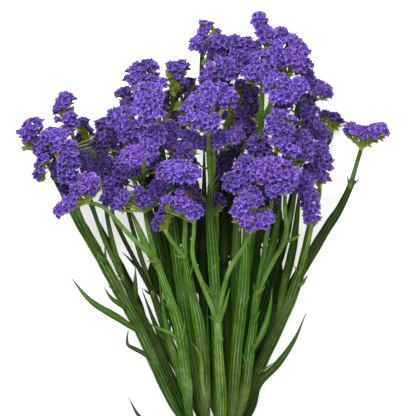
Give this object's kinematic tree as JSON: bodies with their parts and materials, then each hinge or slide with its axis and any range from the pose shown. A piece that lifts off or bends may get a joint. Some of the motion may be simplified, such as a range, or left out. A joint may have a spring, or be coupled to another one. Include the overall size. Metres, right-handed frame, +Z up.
{
  "type": "dried statice bunch",
  "caption": "Flat-lying bunch of winged green statice stems that fan out from a rubber band to combs of papery violet florets.",
  "frame": {"origin": "on the surface, under the middle of the band that holds the stems", "axes": "+Y along the bunch from the band to the flowers, +Z up from the surface that it lies on"},
  "size_m": [0.3799, 0.5734, 0.1501],
  "materials": {
    "florets": "matte, crinkled",
    "stems": "satin, ridged",
    "band": "matte"
  },
  "bodies": {
    "root": {"band": "band", "head_centre_shade": "florets", "head_crest_left": "florets", "head_crest_middle": "florets", "head_deep_centre": "florets", "head_edge_comb": "florets", "head_edge_fan": "florets", "head_edge_low": "florets", "head_front_left": "florets", "head_front_low": "florets", "head_front_middle": "florets", "head_front_right": "florets", "head_inner_comb": "florets", "head_left_column": "florets", "head_left_dome": "florets", "head_left_fan": "florets", "head_left_inner": "florets", "head_left_low": "florets", "head_left_middle": "florets", "head_left_shade": "florets", "head_left_spire": "florets", "head_left_sprig": "florets", "head_low_centre": "florets", "head_low_front": "florets", "head_low_left": "florets", "head_low_sprig": "florets", "head_middle_fan": "florets", "head_middle_light": "florets", "head_middle_right": "florets", "head_right_crest": "florets", "head_right_dome": "florets", "head_right_lone": "florets", "head_right_low": "florets", "head_right_mass": "florets", "head_right_outer": "florets", "head_right_pair": "florets", "head_shade_left": "florets", "head_shade_middle": "florets", "head_side_fan": "florets", "head_top_peak": "florets", "head_top_row": "florets", "head_top_spire": "florets", "head_upper_centre": "florets", "head_upper_right": "florets", "stem_centre": "stems", "stem_centre_left": "stems", "stem_centre_right": "stems", "stem_far_left": "stems", "stem_far_right": "stems", "stem_forked": "stems", "stem_inner_left": "stems", "stem_left": "stems", "stem_left_back": "stems", "stem_left_front": "stems", "stem_right": "stems", "stem_right_back": "stems", "stem_right_front": "stems", "stem_top": "stems", "stem_top_right": "stems", "stem_upper_left": "stems"}
  },
  "joints": []
}
